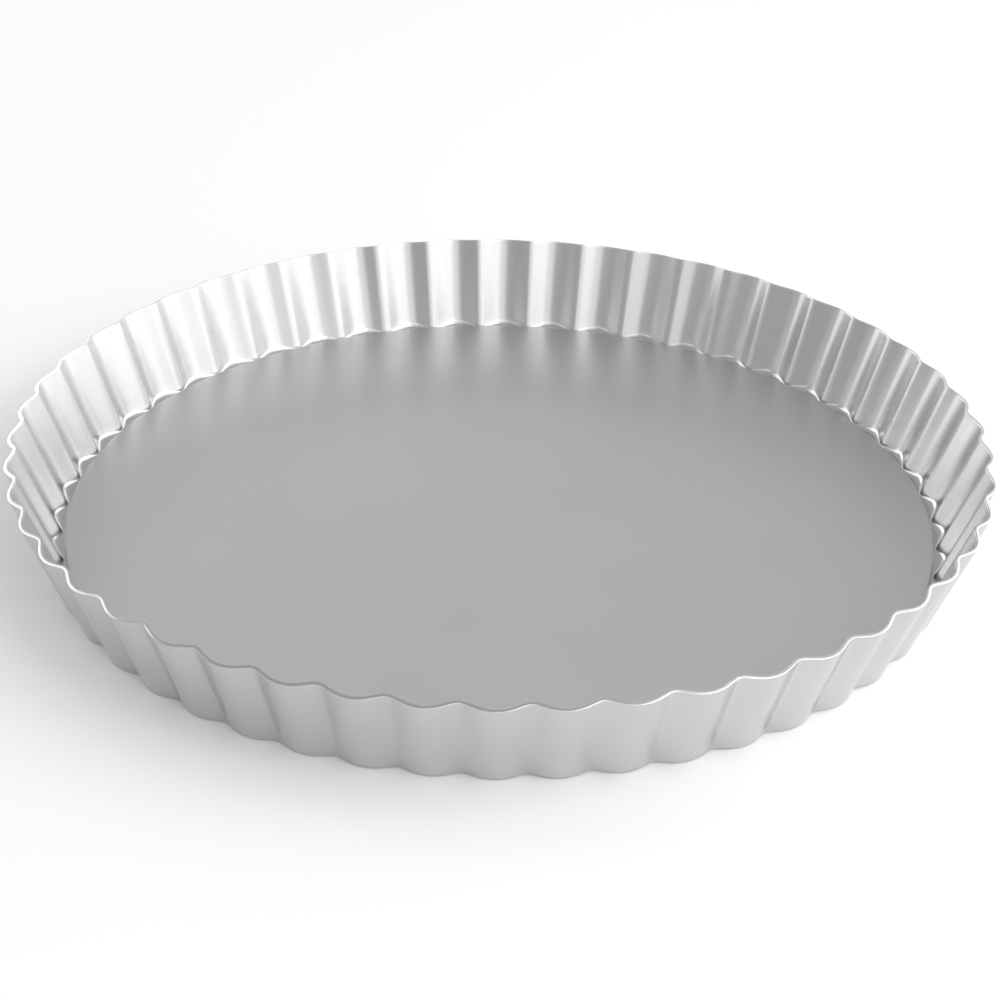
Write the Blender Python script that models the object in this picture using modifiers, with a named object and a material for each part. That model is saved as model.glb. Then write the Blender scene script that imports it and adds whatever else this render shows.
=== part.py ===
"""Loose-bottomed tart pan: a fluted ring with an inward ledge, and the flat base that lies on it.

Metres, +Z up. The origin is on the pan's axis, at the level of the surface that it stands on.
A ridge of the fluted wall, where it comes closest to the axis, lies on +X.
"""

import math

import bmesh
import bpy

# The ring, pressed from one sheet.
RING_SHEET = 0.0010
PAN_HEIGHT = 0.0260
RIM_DIAMETER = 0.2521  # inside, across two opposite crests
WALL_FLARE = math.radians(21.0)  # how far the ridges lean out from upright
LEDGE_WIDTH = 0.0085  # how far the ledge reaches in from the corner under the wall
TOE_BEND = 0.0008  # inside radius of the bend between the ledge and the wall

# The flutes: broad crests that bulge outwards, and narrow ridges between them.
FLUTES = 50
RIM_FLUTE_DEPTH = 0.00205
TOE_FLUTE_DEPTH = 0.00205
RIM_DIP = 0.0007  # how much lower the rim is at a crest than at a ridge
RIDGE_SOFTNESS = 0.15  # 0 is a knife-edged ridge, and a larger value a rounder one

# The loose base, a flat blanked disc, and how it fits in the ring.
BASE_SHEET = 0.0010
BASE_EDGE_ROUND = 0.0003
BASE_CLEARANCE = 0.0009  # between the base's edge and the ridges, at the level of the ledge
SEAT_GAP = 0.0003

# How finely the curves are cut into flats.
STEPS_PER_FLUTE = 8
BEND_STEPS = 3
BASE_STEPS = 200

# What follows from those sizes. The corner is where a ridge's line meets the top of the ledge.
LEDGE_TOP = RING_SHEET
RIM_RIDGE_RADIUS = RIM_DIAMETER / 2 - RIM_FLUTE_DEPTH
CORNER_RADIUS = RIM_RIDGE_RADIUS - (PAN_HEIGHT - LEDGE_TOP) * math.tan(WALL_FLARE)
BASE_RADIUS = CORNER_RADIUS - BASE_CLEARANCE


def clear_scene():
    for old in list(bpy.data.objects):
        bpy.data.objects.remove(old, do_unlink=True)


def new_collection(name):
    collection = bpy.data.collections.new(name)
    bpy.context.scene.collection.children.link(collection)
    return collection


def aluminium(name, color, roughness):
    """Anodised aluminium: a metal with a dull satin surface."""
    material = bpy.data.materials.new(name)
    material.use_nodes = True
    shader = material.node_tree.nodes["Principled BSDF"]
    shader.inputs["Base Color"].default_value = (*color, 1.0)
    shader.inputs["Metallic"].default_value = 1.0
    shader.inputs["Roughness"].default_value = roughness
    return material


def add_object(name, mesh, collection, material):
    obj = bpy.data.objects.new(name, mesh)
    collection.objects.link(obj)
    mesh.materials.append(material)
    return obj


def ring_profile():
    """(radius, height) of the sheet's upper face at a ridge, from the ledge's cut edge up to the rim."""
    turn = math.pi / 2 - WALL_FLARE
    bend_start = CORNER_RADIUS - TOE_BEND * math.tan(turn / 2)
    points = [(CORNER_RADIUS - LEDGE_WIDTH, LEDGE_TOP)]
    for step in range(BEND_STEPS + 1):
        angle = turn * step / BEND_STEPS
        radius = bend_start + TOE_BEND * math.sin(angle)
        height = LEDGE_TOP + TOE_BEND * (1 - math.cos(angle))
        points.append((radius, height))
    points.append((RIM_RIDGE_RADIUS, PAN_HEIGHT))
    return points


def turn_profile(points, steps):
    """Turns a profile that lies over +X once round Z, and gives the turned surface as a mesh."""
    wire = bpy.data.meshes.new("profile")
    corners = [(radius, 0.0, height) for radius, height in points]
    edges = [(index, index + 1) for index in range(len(points) - 1)]
    wire.from_pydata(corners, edges, [])
    profile = bpy.data.objects.new("profile", wire)
    bpy.context.scene.collection.objects.link(profile)
    screw = profile.modifiers.new("turn", "SCREW")
    screw.axis = "Z"
    screw.steps = steps
    screw.render_steps = steps
    screw.use_merge_vertices = True
    screw.merge_threshold = 0.00001
    bpy.context.view_layer.update()
    evaluated = profile.evaluated_get(bpy.context.evaluated_depsgraph_get())
    turned = bpy.data.meshes.new_from_object(evaluated)
    bpy.data.objects.remove(profile, do_unlink=True)
    bpy.data.meshes.remove(wire)
    return turned


def bulge(angle):
    """0 on a ridge and 1 on a crest, with the crests as broad arcs and the ridges narrow."""
    half_wave = math.sin(FLUTES * angle / 2)
    softened = math.hypot(half_wave, RIDGE_SOFTNESS) - RIDGE_SOFTNESS
    return softened / (math.hypot(1.0, RIDGE_SOFTNESS) - RIDGE_SOFTNESS)


def press_flutes(mesh):
    """Moves the turned surface's points out into the crests. The ledge's cut edge stays a plain circle."""
    for vertex in mesh.vertices:
        radius = math.hypot(vertex.co.x, vertex.co.y)
        angle = math.atan2(vertex.co.y, vertex.co.x)
        up_wall = (vertex.co.z - LEDGE_TOP) / (PAN_HEIGHT - LEDGE_TOP)
        if radius < CORNER_RADIUS - LEDGE_WIDTH / 2:
            continue
        depth = TOE_FLUTE_DEPTH + (RIM_FLUTE_DEPTH - TOE_FLUTE_DEPTH) * up_wall
        moved = radius + depth * bulge(angle)
        vertex.co.x = moved * math.cos(angle)
        vertex.co.y = moved * math.sin(angle)
        vertex.co.z -= RIM_DIP * up_wall * bulge(angle)


def make_fluted_ring(collection):
    surface = turn_profile(ring_profile(), FLUTES * STEPS_PER_FLUTE)
    press_flutes(surface)
    surface.shade_smooth()
    surface.set_sharp_from_angle(angle=math.radians(50))
    material = aluminium("anodised_ring", (0.60, 0.60, 0.59), 0.32)
    ring = add_object("fluted_ring", surface, collection, material)
    sheet = ring.modifiers.new("sheet", "SOLIDIFY")
    sheet.thickness = RING_SHEET
    sheet.offset = -1.0
    sheet.use_even_offset = True
    return ring


def make_loose_base(collection):
    mesh = bpy.data.meshes.new("loose_base")
    shape = bmesh.new()
    bmesh.ops.create_cone(
        shape,
        cap_ends=True,
        segments=BASE_STEPS,
        radius1=BASE_RADIUS,
        radius2=BASE_RADIUS,
        depth=BASE_SHEET,
    )
    shape.to_mesh(mesh)
    shape.free()
    mesh.shade_smooth()
    mesh.set_sharp_from_angle(angle=math.radians(50))
    material = aluminium("anodised_base", (0.52, 0.52, 0.51), 0.36)
    base = add_object("loose_base", mesh, collection, material)
    base.location.z = LEDGE_TOP + SEAT_GAP + BASE_SHEET / 2
    rounding = base.modifiers.new("rounded edge", "BEVEL")
    rounding.width = BASE_EDGE_ROUND
    rounding.segments = 1
    rounding.limit_method = "ANGLE"
    rounding.angle_limit = math.radians(60)
    return base


clear_scene()
tart_pan = new_collection("tart_pan")
make_fluted_ring(tart_pan)
make_loose_base(tart_pan)
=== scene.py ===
# %% [markdown]
# # A loose-bottomed tart pan
#
# The real pan is two pieces of bare sheet metal. A fluted ring is pressed from one round blank, so that
# it has a flared, scalloped wall and a narrow flat ledge turned inwards at its foot. A flat disc lies
# loose on that ledge, and is pushed up through the ring to free the tart.
#
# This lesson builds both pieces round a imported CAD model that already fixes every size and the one
# motion. The frame is loaded first, so that each piece can be put exactly where the CAD has it.

# %% Load the frame that fixes sizes, places and motion
import math

import bpy
from mathutils import Matrix, Vector


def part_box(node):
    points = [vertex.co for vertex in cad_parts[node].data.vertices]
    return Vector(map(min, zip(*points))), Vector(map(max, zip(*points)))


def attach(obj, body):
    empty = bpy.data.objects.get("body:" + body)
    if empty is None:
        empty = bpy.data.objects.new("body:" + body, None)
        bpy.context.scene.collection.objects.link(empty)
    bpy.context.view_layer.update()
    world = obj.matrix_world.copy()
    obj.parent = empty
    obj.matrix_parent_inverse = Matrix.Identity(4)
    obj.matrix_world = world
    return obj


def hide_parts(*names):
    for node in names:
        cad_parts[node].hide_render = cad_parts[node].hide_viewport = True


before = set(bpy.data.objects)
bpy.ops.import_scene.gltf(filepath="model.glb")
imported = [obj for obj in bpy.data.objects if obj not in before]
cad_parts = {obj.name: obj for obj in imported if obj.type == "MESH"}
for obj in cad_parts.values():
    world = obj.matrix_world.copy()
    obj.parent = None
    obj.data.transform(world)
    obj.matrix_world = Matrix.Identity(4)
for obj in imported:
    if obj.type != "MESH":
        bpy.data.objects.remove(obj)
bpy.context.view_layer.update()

# %% [markdown]
# ## The sizes that the shapes hang on
#
# A shape that has to fit the CAD takes its radii and heights from the CAD nodes' own boxes. Only what a
# box can't tell is written here: the sheet, the flare of the wall, and how the flutes are pressed.
# Everything is in metres, so a millimetre is named once.

# %% Read the radii and heights, and name the pressing's own sizes
MM = 0.001
SHEET = 1.0 * MM
WALL_FLARE = math.radians(21.0)
FLUTES = 50
RIM_FLUTE_DEPTH = 2.05 * MM
TOE_FLUTE_DEPTH = 2.05 * MM
RIM_DIP = 0.7 * MM
LEDGE_WIDTH = 8.5 * MM
BASE_CLEARANCE = 0.9 * MM

ring_low, ring_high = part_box("fluted_ring")
base_low, base_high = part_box("loose_base")
RIM_HEIGHT = ring_high.z
LEDGE_TOP = SHEET
RIM_CREST_RADIUS = ring_high.y - SHEET * math.cos(WALL_FLARE)
RIM_RIDGE_RADIUS = RIM_CREST_RADIUS - RIM_FLUTE_DEPTH
BASE_RADIUS = base_high.x
CORNER_RADIUS = BASE_RADIUS + BASE_CLEARANCE
print("rim inside, across crests:", round(2 * RIM_CREST_RADIUS / MM, 1), "mm")
print("corner under the wall:", round(CORNER_RADIUS / MM, 2), "mm from the axis")

# %% [markdown]
# ## How deep a flute is at each angle
#
# The flutes aren't a sine wave. The punch has narrow ribs, and the sheet hangs nearly straight from one
# rib to the next, so a flute is two flat flanks with a tight bend on the ridge and a wider bend at the
# crest. Its slope is constant on a flank and dies away evenly through a bend. Adding that slope up gives
# a parabola, a straight line and a parabola. The same wave shapes the wall, the bend at its toe and the
# dip of the rim, so it is one function.

# %% Describe the flute wave
RIDGE_PART = 0.2
CREST_PART = 0.5


def bulge(angle):
    """0 on a ridge and 1 on a crest. Both parts are shares of the way from a ridge to a crest."""
    flutes_round = angle * FLUTES / (2 * math.pi)
    along = 1 - abs(2 * (flutes_round % 1) - 1)
    whole = 1 - RIDGE_PART / 2 - CREST_PART / 2
    if along < RIDGE_PART:
        return along**2 / (2 * RIDGE_PART) / whole
    if along > 1 - CREST_PART:
        return 1 - (1 - along) ** 2 / (2 * CREST_PART) / whole
    return (along - RIDGE_PART / 2) / whole


quarter_flute = math.pi / FLUTES / 2
print("bulge on ridge, halfway, crest:", [round(bulge(k * quarter_flute), 3) for k in range(3)])

# %% [markdown]
# ## One slice of the ring
#
# Cut the pan through its axis, and the sheet's upper face is a short path: flat ledge, bend, and a
# straight wall up to the rim. The edge of the flat ledge stays nearer to a plain circle than the wall
# does, so the bend is tight on a ridge and a wider sweep behind a crest. SWEEP is the share of a crest's
# depth that the bend takes up. The sweeps catch the light as a bright crescent at the foot of every
# flute, so they are modelled, not shaded. The last row below the rim is close to it, to keep the wall's
# shading flat there.

# %% Give the upper face's points at one angle
RIDGE_BEND = 0.8 * MM
SWEEP = 0.6
LEDGE_ROWS = 5
BEND_ROWS = 11
WALL_ROWS = 12
RIM_ROW = 0.35 * MM


def wall_line(angle):
    """The wall's straight line at this angle: (radius, height) at the ledge's level and at the rim."""
    wave = bulge(angle)
    corner = (CORNER_RADIUS + TOE_FLUTE_DEPTH * wave, LEDGE_TOP)
    rim = (RIM_RIDGE_RADIUS + RIM_FLUTE_DEPTH * wave, RIM_HEIGHT - RIM_DIP * wave)
    return corner, rim


def bend_points(radius, turn, rows):
    """A bend from level to the wall's slope, as (outwards, upwards) from the corner it rounds off."""
    start = -radius * math.tan(turn / 2)
    swings = [turn * row / (rows - 1) for row in range(rows)]
    return [(start + radius * math.sin(a), radius * (1 - math.cos(a))) for a in swings]


def upper_face(angle):
    """(radius, height) from the ledge's inner edge to the rim."""
    corner, rim = wall_line(angle)
    turn = math.atan2(rim[1] - corner[1], rim[0] - corner[0])
    radius = RIDGE_BEND + SWEEP * TOE_FLUTE_DEPTH * bulge(angle) / math.tan(turn / 2)
    bend = [(corner[0] + out, corner[1] + up) for out, up in bend_points(radius, turn, BEND_ROWS)]
    inner = CORNER_RADIUS - LEDGE_WIDTH
    ledge_step = (bend[0][0] - inner) / LEDGE_ROWS
    ledge = [(inner + ledge_step * row, LEDGE_TOP) for row in range(LEDGE_ROWS)]
    foot = Vector(bend[-1])
    near_rim = 1 - RIM_ROW / (Vector(rim) - foot).length
    shares = [near_rim * row / WALL_ROWS for row in range(1, WALL_ROWS + 1)] + [1.0]
    return ledge + bend + [tuple(foot.lerp(Vector(rim), share)) for share in shares]


print("points on the upper face:", len(upper_face(0.0)))
crest_bend_top = upper_face(math.pi / FLUTES)[LEDGE_ROWS + BEND_ROWS - 1]
print("height of the sweep behind a crest, in mm:", round((crest_bend_top[1] - LEDGE_TOP) / MM, 2))

# %% [markdown]
# ## The same slice from below
#
# The sheet's lower face runs one gauge outside the upper one, square to the metal. Solidify would make
# it, but it would round the outer corner by the inner radius plus the gauge, over 3 mm behind a crest.
# The real foot is struck against a die and comes out nearly sharp. So the lower face is worked out here:
# the wall moves outwards along the flute's own normal, and the corner gets its own small radius.

# %% Give the lower face's points at one angle
OUTER_BEND = 0.7 * MM
OUTER_BEND_ROWS = 6
OUTER_WALL_ROWS = 12
NUDGE = 0.001  # radians to each side, to find which way the wall runs


def on_circle(radius, angle, height):
    return Vector((radius * math.cos(angle), radius * math.sin(angle), height))


def outward(angle):
    """The level direction that is square to the fluted wall at this angle."""
    before, after = wall_line(angle - NUDGE)[1][0], wall_line(angle + NUDGE)[1][0]
    along = on_circle(after, angle + NUDGE, 0.0) - on_circle(before, angle - NUDGE, 0.0)
    return Vector((along.y, -along.x, 0.0)).normalized()


def lower_face(angle):
    """Points in space from the rim's outer edge down to the foot, and in under the ledge."""
    corner, rim = wall_line(angle)
    turn = math.atan2(rim[1] - corner[1], rim[0] - corner[0])
    lean = 1 / math.tan(turn)
    away = outward(angle)
    foot_radius = corner[0] - LEDGE_TOP * lean
    foot = on_circle(foot_radius, angle, 0.0) + away * (SHEET / math.sin(turn))
    rounding = bend_points(OUTER_BEND, turn, OUTER_BEND_ROWS)
    bend = [foot + away * out + Vector((0, 0, up)) for out, up in rounding]
    through_sheet = away * (SHEET * math.sin(turn)) - Vector((0, 0, SHEET * math.cos(turn)))
    edge = on_circle(rim[0], angle, rim[1]) + through_sheet
    near_rim = RIM_ROW / (bend[-1] - edge).length
    rest = 1 - near_rim
    shares = [0.0] + [near_rim + rest * row / OUTER_WALL_ROWS for row in range(OUTER_WALL_ROWS)]
    wall = [edge.lerp(bend[-1], share) for share in shares]
    inner = on_circle(CORNER_RADIUS - LEDGE_WIDTH, angle, 0.0)
    ledge = [bend[0].lerp(inner, row / LEDGE_ROWS) for row in range(1, LEDGE_ROWS + 1)]
    return wall + bend[::-1] + ledge


print("points on the lower face:", len(lower_face(0.0)))
crest_foot = lower_face(math.pi / FLUTES)[-LEDGE_ROWS - 1]
print("foot's outer radius on a crest, in mm:", round(crest_foot.xy.length / MM, 2))

# %% [markdown]
# ## From slices to a sheet of metal
#
# Each slice is now a closed loop round the sheet's section. The loops are set round the axis and joined
# into quads, which gives one closed ring of metal with its true gauge. Bevel then breaks the sharp
# corners of the two cut edges, as tumbling does after trimming. The modifier is applied at the end, so
# that the piece is a plain mesh like any other.

# %% Join the slices and break the cut edges
STEPS_PER_FLUTE = 24
CUT_EDGE_ROUND = 0.16 * MM
CUT_EDGE_SEGMENTS = 3
CUT_EDGE_ANGLE = math.radians(60)


def applied(name, obj):
    """A new object with the modifiers made real, in place of obj."""
    bpy.context.view_layer.update()
    evaluated = obj.evaluated_get(bpy.context.evaluated_depsgraph_get())
    mesh = bpy.data.meshes.new_from_object(evaluated)
    bpy.data.objects.remove(obj, do_unlink=True)
    mesh.name = name
    finished = bpy.data.objects.new(name, mesh)
    bpy.context.scene.collection.objects.link(finished)
    return finished


def make_ring():
    steps = FLUTES * STEPS_PER_FLUTE
    points = []
    for step in range(steps):
        angle = 2 * math.pi * step / steps
        points += [on_circle(radius, angle, height) for radius, height in upper_face(angle)]
        points += lower_face(angle)
    rows = len(points) // steps
    faces = []
    for step in range(steps):
        here = step * rows
        after = (step + 1) % steps * rows
        for row in range(rows):
            following = (row + 1) % rows
            faces.append((here + row, here + following, after + following, after + row))
    mesh = bpy.data.meshes.new("joined_slices")
    mesh.from_pydata(points, [], faces)
    rough = bpy.data.objects.new("joined_slices", mesh)
    bpy.context.scene.collection.objects.link(rough)
    broken = rough.modifiers.new("broken edges", "BEVEL")
    broken.width = CUT_EDGE_ROUND
    broken.segments = CUT_EDGE_SEGMENTS
    broken.limit_method = "ANGLE"
    broken.angle_limit = CUT_EDGE_ANGLE
    return applied("pressed_ring", rough)


ring = make_ring()
ring.data.shade_smooth()
print("pressed_ring:", len(ring.data.polygons), "faces")
print("  box in mm:", [round(side / MM, 2) for side in ring.dimensions])

# %% [markdown]
# ## The loose base
#
# The base is blanked from flat sheet, so it is a plain disc whose only shape is at its edge. The blow
# that cuts it rolls the upper edge over by a few tenths of a millimetre. A turned profile is the
# natural way to make it: half of the disc's section is drawn once over +X, and Screw turns it round.

# %% Turn the base from half of its section
BASE_STEPS = 480
ROLLED_EDGE = 0.35 * MM
BURR_EDGE = 0.10 * MM
EDGE_STEPS = 5
BURR_STEPS = 3
MERGE_WITHIN = 0.001 * MM
FLAT_SHARES = (0.99, 0.85, 0.6, 0.3, 0.0)  # rings of points on the flat faces, as shares of the radius


def edge_arc(radius, height, rounding, start, steps):
    """A quarter circle in the (radius, height) plane, from the angle start, round that centre."""
    swing = [start + math.pi / 2 * step / steps for step in range(steps + 1)]
    return [(radius + rounding * math.cos(a), height + rounding * math.sin(a)) for a in swing]


def make_base():
    top, bottom = base_high.z, base_low.z
    burr_centre = (BASE_RADIUS - BURR_EDGE, bottom + BURR_EDGE)
    rolled_centre = (BASE_RADIUS - ROLLED_EDGE, top - ROLLED_EDGE)
    lower = edge_arc(*burr_centre, BURR_EDGE, -math.pi / 2, BURR_STEPS)
    upper = edge_arc(*rolled_centre, ROLLED_EDGE, 0.0, EDGE_STEPS)
    flat = [(BASE_RADIUS * share, top) for share in FLAT_SHARES]
    under = [(r, bottom) for r, _ in reversed(flat)]
    section = under + lower + upper + flat
    wire = bpy.data.meshes.new("section")
    corners = [(radius, 0.0, height) for radius, height in section]
    wire.from_pydata(corners, [(k, k + 1) for k in range(len(corners) - 1)], [])
    rough = bpy.data.objects.new("section", wire)
    bpy.context.scene.collection.objects.link(rough)
    turned = rough.modifiers.new("turned", "SCREW")
    turned.steps = BASE_STEPS
    turned.render_steps = BASE_STEPS
    turned.use_merge_vertices = True
    turned.merge_threshold = MERGE_WITHIN
    turned.use_normal_calculate = True
    return applied("blanked_base", rough)


base = make_base()
base.data.shade_smooth()
print("blanked_base:", len(base.data.polygons), "faces")
print("  box in mm:", [round(side / MM, 2) for side in base.dimensions])

# %% [markdown]
# ## Colours and nodes
#
# Colours are chosen as sRGB hex values, as a paint card or a colour picker gives them, but shaders
# compute in linear light. One function does that change everywhere. A second small function adds a
# node with its settings and links, so that each finish below reads as a short list of nodes.

# %% Define the colour and node helpers
def hex_color(code):
    """A linear RGBA colour from an sRGB hex value such as #C9C9C6."""
    channels = [int(code[k : k + 2], 16) / 255 for k in (1, 3, 5)]
    linear = [c / 12.92 if c <= 0.04045 else ((c + 0.055) / 1.055) ** 2.4 for c in channels]
    return (*linear, 1.0)


def add_node(material, kind, settings=None, links=None):
    """Adds a node. settings are properties and unlinked sockets; links are socket: (node, output)."""
    node = material.node_tree.nodes.new(kind)
    for key, value in (settings or {}).items():
        if isinstance(key, str) and hasattr(node, key):
            setattr(node, key, value)
        else:
            node.inputs[key].default_value = value
    for key, (source, output) in (links or {}).items():
        material.node_tree.links.new(source.outputs[output], node.inputs[key])
    return node


def new_finish(name):
    """An empty material with only its output node."""
    material = bpy.data.materials.new(name)
    material.use_nodes = True
    material.node_tree.nodes.clear()
    return material, add_node(material, "ShaderNodeOutputMaterial")


print("satin aluminium in linear light:", [round(v, 3) for v in hex_color("#D1D1D1")])

# %% [markdown]
# ## Satin anodised aluminium, pressed
#
# The ring is aluminium sheet that was etched matt and anodised clear. Etching leaves a fine pitted
# grain, so it is a metal with a wide, soft highlight and no clear reflections. Handling dulls it a
# little in patches, and pressing drags faint marks round the wall. The etched pits are a few hundredths
# of a millimetre wide and the marks are about as close together, too fine to show. So both are drawn
# about 0.5 mm apart, and shallower. The ring and the base share the pits' size and the bumps' relief.

# %% Make the ring's finish
RING_COLOR = "#D1D1D1"
RING_SECOND_TONE = "#CCCCCC"
RING_ROUGHNESS = 0.25
RING_DULLNESS_RANGE = 0.01
RING_HANDLING_SIZE = 18 * MM
MARK_LENGTH = 30 * MM
MARK_SPACING = 0.45 * MM
PIT_SIZE = 0.5 * MM
RELIEF = 0.02 * MM


def pressed_aluminium():
    finish, output = new_finish("satin_anodised_aluminium_pressed")
    place = add_node(finish, "ShaderNodeTexCoord")
    pits = add_node(
        finish,
        "ShaderNodeTexNoise",
        {"Scale": 1 / PIT_SIZE, "Detail": 2.0, "Roughness": 0.6},
        {"Vector": (place, "Object")},
    )
    drawn = add_node(
        finish,
        "ShaderNodeMapping",
        {"Scale": (1 / MARK_LENGTH, 1 / MARK_LENGTH, 1 / MARK_SPACING)},
        {"Vector": (place, "Object")},
    )
    marks = add_node(
        finish,
        "ShaderNodeTexNoise",
        {"Scale": 1.0, "Detail": 3.0, "Roughness": 0.55},
        {"Vector": (drawn, "Vector")},
    )
    handling = add_node(
        finish,
        "ShaderNodeTexNoise",
        {"Scale": 1 / RING_HANDLING_SIZE, "Detail": 2.0},
        {"Vector": (place, "Object")},
    )
    dullness = add_node(
        finish,
        "ShaderNodeMapRange",
        {
            "From Min": 0.3,
            "From Max": 0.7,
            "To Min": RING_ROUGHNESS - RING_DULLNESS_RANGE,
            "To Max": RING_ROUGHNESS + RING_DULLNESS_RANGE,
        },
        {"Value": (handling, "Fac")},
    )
    tone = add_node(
        finish,
        "ShaderNodeMix",
        {"data_type": "RGBA", 6: hex_color(RING_COLOR), 7: hex_color(RING_SECOND_TONE)},
        {"Factor": (handling, "Fac")},
    )
    grain = add_node(
        finish,
        "ShaderNodeBump",
        {"Strength": 0.04, "Distance": RELIEF},
        {"Height": (pits, "Fac")},
    )
    drag = add_node(
        finish,
        "ShaderNodeBump",
        {"Strength": 0.04, "Distance": RELIEF},
        {"Height": (marks, "Fac"), "Normal": (grain, "Normal")},
    )
    metal = add_node(
        finish,
        "ShaderNodeBsdfPrincipled",
        {"Metallic": 1.0},
        {"Base Color": (tone, 2), "Roughness": (dullness, "Result"), "Normal": (drag, "Normal")},
    )
    finish.node_tree.links.new(metal.outputs["BSDF"], output.inputs["Surface"])
    return finish


ring.data.materials.clear()
ring.data.materials.append(pressed_aluminium())
print("ring finish:", ring.data.materials[0].name, len(ring.data.materials[0].node_tree.nodes), "nodes")

# %% [markdown]
# ## Satin anodised aluminium, rolled
#
# The base is the same metal, but it was never pressed, so it still carries the grain of the rolling
# mill: faint straight lines that all run one way. Their real spacing is near 0.05 mm. They are drawn
# about 0.4 mm apart, which is as fine as shows from arm's length.

# %% Make the base's finish
BASE_COLOR = "#D5D5D4"
BASE_SECOND_TONE = "#D0D0CF"
BASE_ROUGHNESS = 0.43
BASE_DULLNESS_RANGE = 0.015
BASE_HANDLING_SIZE = 40 * MM
MILL_LINE_LENGTH = 14 * MM
MILL_LINE_SPACING = 0.4 * MM


def rolled_aluminium():
    finish, output = new_finish("satin_anodised_aluminium_rolled")
    place = add_node(finish, "ShaderNodeTexCoord")
    stretched = add_node(
        finish,
        "ShaderNodeMapping",
        {"Scale": (1 / MILL_LINE_LENGTH, 1 / MILL_LINE_SPACING, 1 / MILL_LINE_LENGTH)},
        {"Vector": (place, "Object")},
    )
    mill_lines = add_node(
        finish,
        "ShaderNodeTexNoise",
        {"Scale": 1.0, "Detail": 3.0, "Roughness": 0.6},
        {"Vector": (stretched, "Vector")},
    )
    pits = add_node(
        finish,
        "ShaderNodeTexNoise",
        {"Scale": 1 / PIT_SIZE, "Detail": 2.0, "Roughness": 0.6},
        {"Vector": (place, "Object")},
    )
    handling = add_node(
        finish,
        "ShaderNodeTexNoise",
        {"Scale": 1 / BASE_HANDLING_SIZE, "Detail": 2.0},
        {"Vector": (place, "Object")},
    )
    dullness = add_node(
        finish,
        "ShaderNodeMapRange",
        {
            "From Min": 0.3,
            "From Max": 0.7,
            "To Min": BASE_ROUGHNESS - BASE_DULLNESS_RANGE,
            "To Max": BASE_ROUGHNESS + BASE_DULLNESS_RANGE,
        },
        {"Value": (handling, "Fac")},
    )
    tone = add_node(
        finish,
        "ShaderNodeMix",
        {"data_type": "RGBA", 6: hex_color(BASE_COLOR), 7: hex_color(BASE_SECOND_TONE)},
        {"Factor": (mill_lines, "Fac")},
    )
    grain = add_node(
        finish,
        "ShaderNodeBump",
        {"Strength": 0.05, "Distance": RELIEF},
        {"Height": (pits, "Fac")},
    )
    lines = add_node(
        finish,
        "ShaderNodeBump",
        {"Strength": 0.08, "Distance": RELIEF},
        {"Height": (mill_lines, "Fac"), "Normal": (grain, "Normal")},
    )
    metal = add_node(
        finish,
        "ShaderNodeBsdfPrincipled",
        {"Metallic": 1.0},
        {"Base Color": (tone, 2), "Roughness": (dullness, "Result"), "Normal": (lines, "Normal")},
    )
    finish.node_tree.links.new(metal.outputs["BSDF"], output.inputs["Surface"])
    return finish


base.data.materials.clear()
base.data.materials.append(rolled_aluminium())
print("base finish:", base.data.materials[0].name, len(base.data.materials[0].node_tree.nodes), "nodes")

# %% [markdown]
# ## What moves with what
#
# The ring stands still and the base lifts, so each new piece rides on the CAD body that it belongs to.
# It also stands in for the plain CAD solid, which then stays only for collision.

# %% Tie the pieces to the frame
for piece, node, body, slot in (
    (ring, "fluted_ring", "ring", "anodised_ring"),
    (base, "loose_base", "base", "anodised_base"),
):
    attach(piece, body)
    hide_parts(node)
    print(piece.name, "rides on", body, "and replaces", node)

# %% [markdown]
# ## The floor
#
# The pan stands on a plain white sweep. Its underside and outer wall mirror the floor, so the floor
# matters as much as the lamps do: it is matt and nearly white.

# %% Lay the floor
def matt_card():
    finish, output = new_finish("matt_white_card")
    card = add_node(
        finish,
        "ShaderNodeBsdfPrincipled",
        {"Base Color": hex_color("#F4F4F4"), "Roughness": 0.9, "Specular IOR Level": 0.2},
    )
    finish.node_tree.links.new(card.outputs["BSDF"], output.inputs["Surface"])
    return finish


FLOOR_SIDE = 8.0
FLOOR_GAP = 0.05 * MM
half = FLOOR_SIDE / 2
floor_corners = [(-half, -half, 0), (half, -half, 0), (half, half, 0), (-half, half, 0)]
floor_mesh = bpy.data.meshes.new("floor")
floor_mesh.from_pydata(floor_corners, [], [(0, 1, 2, 3)])
floor_mesh.materials.append(matt_card())
floor = bpy.data.objects.new("floor", floor_mesh)
floor.location.z = ring_low.z - FLOOR_GAP
bpy.context.scene.collection.objects.link(floor)
print("floor:", FLOOR_SIDE, "m square")

# %% [markdown]
# ## The light
#
# Satin metal shows its surroundings more than its own colour, so it is lit as such things are in a
# studio, inside a ring of large soft panels. One lamp would give one hot streak and leave the rest
# dead. The brightest panels are on the right, with one low down behind the pan on the left, so that
# every flute has a light and a dark flank. The panels hang in three rows, low, middle and high, and a
# higher row is a smaller circle with narrower panels. Each is an area lamp, and its radiance is how
# bright its face looks, so that the panels can be compared whatever their size.
#
# The radiances weren't chosen one by one. A least-squares solver weighed all the panels together, and
# its numbers were rounded. Only the three front low panels and the room's light were then raised.

# %% Hang the softboxes
PANEL_DISTANCE = 1.4
# Azimuth: radiance, with 0 in front of the pan, 90 on its right and 180 behind it.
LOW_PANELS = {8: 0.65, 38: 1.05, 68: 1.25, 98: 1.25, 128: 2.4, 158: 0.4}
LOW_PANELS |= {188: 0.65, 218: 2.95, 248: 1.05, 278: 0.15}
MIDDLE_PANELS = {0: 0.9, 30: 2.0, 60: 3.3, 90: 3.5, 120: 1.4, 240: 1.4, 300: 0.6, 330: 0.4}
HIGH_PANELS = {0: 0.6, 45: 2.3, 90: 1.8, 135: 0.4, 180: 0.45}
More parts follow.
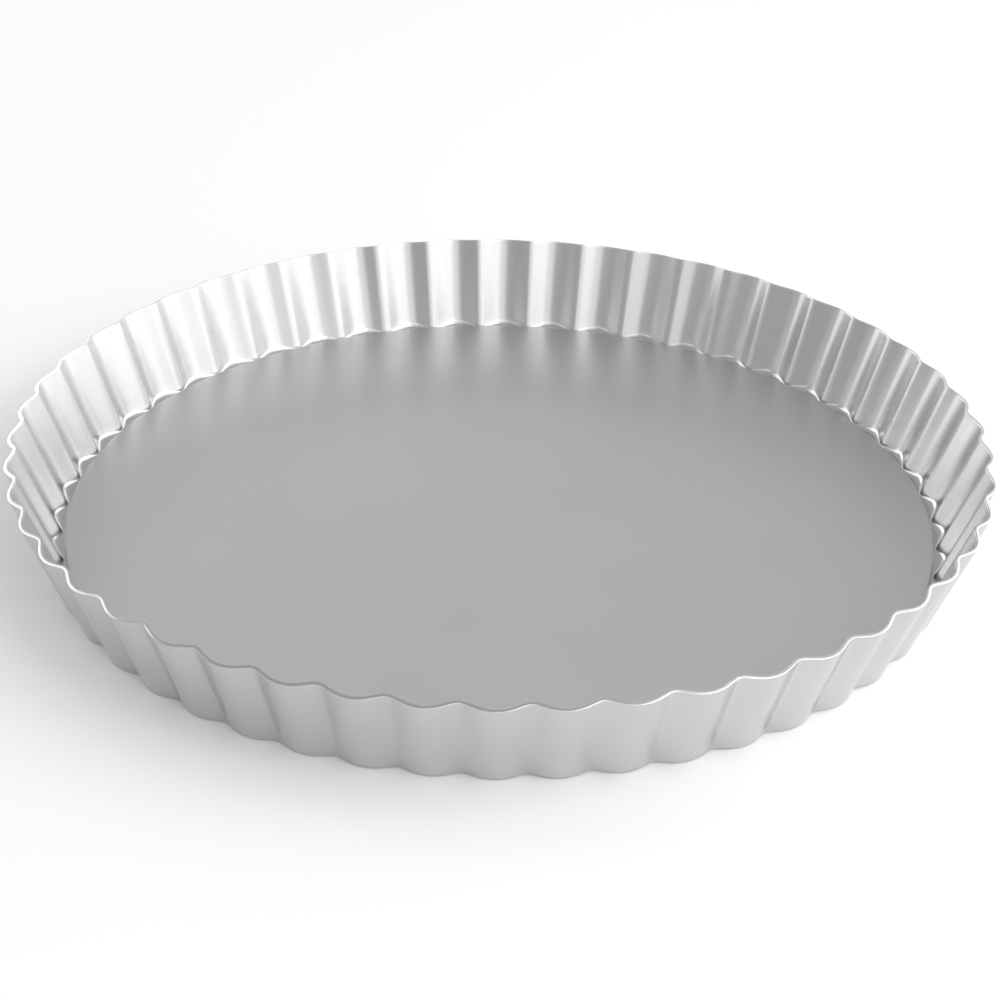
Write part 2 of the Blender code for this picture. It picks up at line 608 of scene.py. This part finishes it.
# Elevation: (width and height as angles, the panels).
PANEL_ROWS = {12: (29, 21, LOW_PANELS), 35: (29, 22, MIDDLE_PANELS), 60: (30, 24, HIGH_PANELS)}


def hang_softbox(name, azimuth, elevation, width, height, radiance):
    lamp = bpy.data.lights.new(name, "AREA")
    lamp.shape = "RECTANGLE"
    lamp.size = width
    lamp.size_y = height
    lamp.energy = radiance * math.pi * width * height
    softbox = bpy.data.objects.new(name, lamp)
    around, up = math.radians(azimuth), math.radians(elevation)
    level = Vector((math.sin(around), -math.cos(around), 0.0)) * math.cos(up)
    away = level + Vector((0.0, 0.0, math.sin(up)))
    softbox.location = away * PANEL_DISTANCE
    softbox.rotation_euler = away.to_track_quat("Z", "Y").to_euler()
    softbox.visible_camera = False
    bpy.context.scene.collection.objects.link(softbox)


for elevation, (wide, tall, panels) in PANEL_ROWS.items():
    narrower = math.cos(math.radians(elevation))
    width = 2 * PANEL_DISTANCE * math.tan(math.radians(wide / 2)) * narrower
    height = 2 * PANEL_DISTANCE * math.tan(math.radians(tall / 2))
    for azimuth, radiance in panels.items():
        name = f"softbox_{elevation}_{azimuth}"
        hang_softbox(name, azimuth, elevation, width, height, radiance)
    print(len(panels), "panels at", elevation, "degrees")

# %% [markdown]
# The room itself is a plain even grey that fills in between the panels. Tones are shown as they are,
# with no film curve, so that the white floor comes out white.

# %% Fill in with the room's own light
WORLD_LIGHT = 0.46
room = bpy.data.worlds.new("room")
room.use_nodes = True
sky = room.node_tree.nodes["Background"]
sky.inputs["Color"].default_value = hex_color("#FFFFFF")
sky.inputs["Strength"].default_value = WORLD_LIGHT
bpy.context.scene.world = room
bpy.context.scene.view_settings.view_transform = "Standard"
print("room's light:", WORLD_LIGHT)

# %% [markdown]
# ## The camera
#
# The pan is seen from the front and from about 30 degrees above, from close by, so that the near rim
# looks clearly larger than the far one. A lens a little longer than usual just frames the whole rim at
# that distance. The camera is also rolled by about a degree. The place, the angles and the lens come
# from one fit, which is why they aren't round numbers.

# %% Place the camera
CAMERA_PLACE = (0.0, -0.5388, 0.3101)
CAMERA_DOWN = math.radians(29.52)
CAMERA_ROLL = math.radians(1.11)
CAMERA_LENS = 84.48
SENSOR_WIDTH = 36.0

lens = bpy.data.cameras.new("camera")
lens.sensor_width = SENSOR_WIDTH
lens.lens = CAMERA_LENS
camera = bpy.data.objects.new("camera", lens)
aim = Matrix.Rotation(math.pi / 2 - CAMERA_DOWN, 4, "X") @ Matrix.Rotation(CAMERA_ROLL, 4, "Z")
camera.matrix_world = Matrix.Translation(CAMERA_PLACE) @ aim
bpy.context.scene.collection.objects.link(camera)
bpy.context.scene.camera = camera
print("camera is", round(Vector(CAMERA_PLACE).length, 3), "m from the middle of the pan's foot")
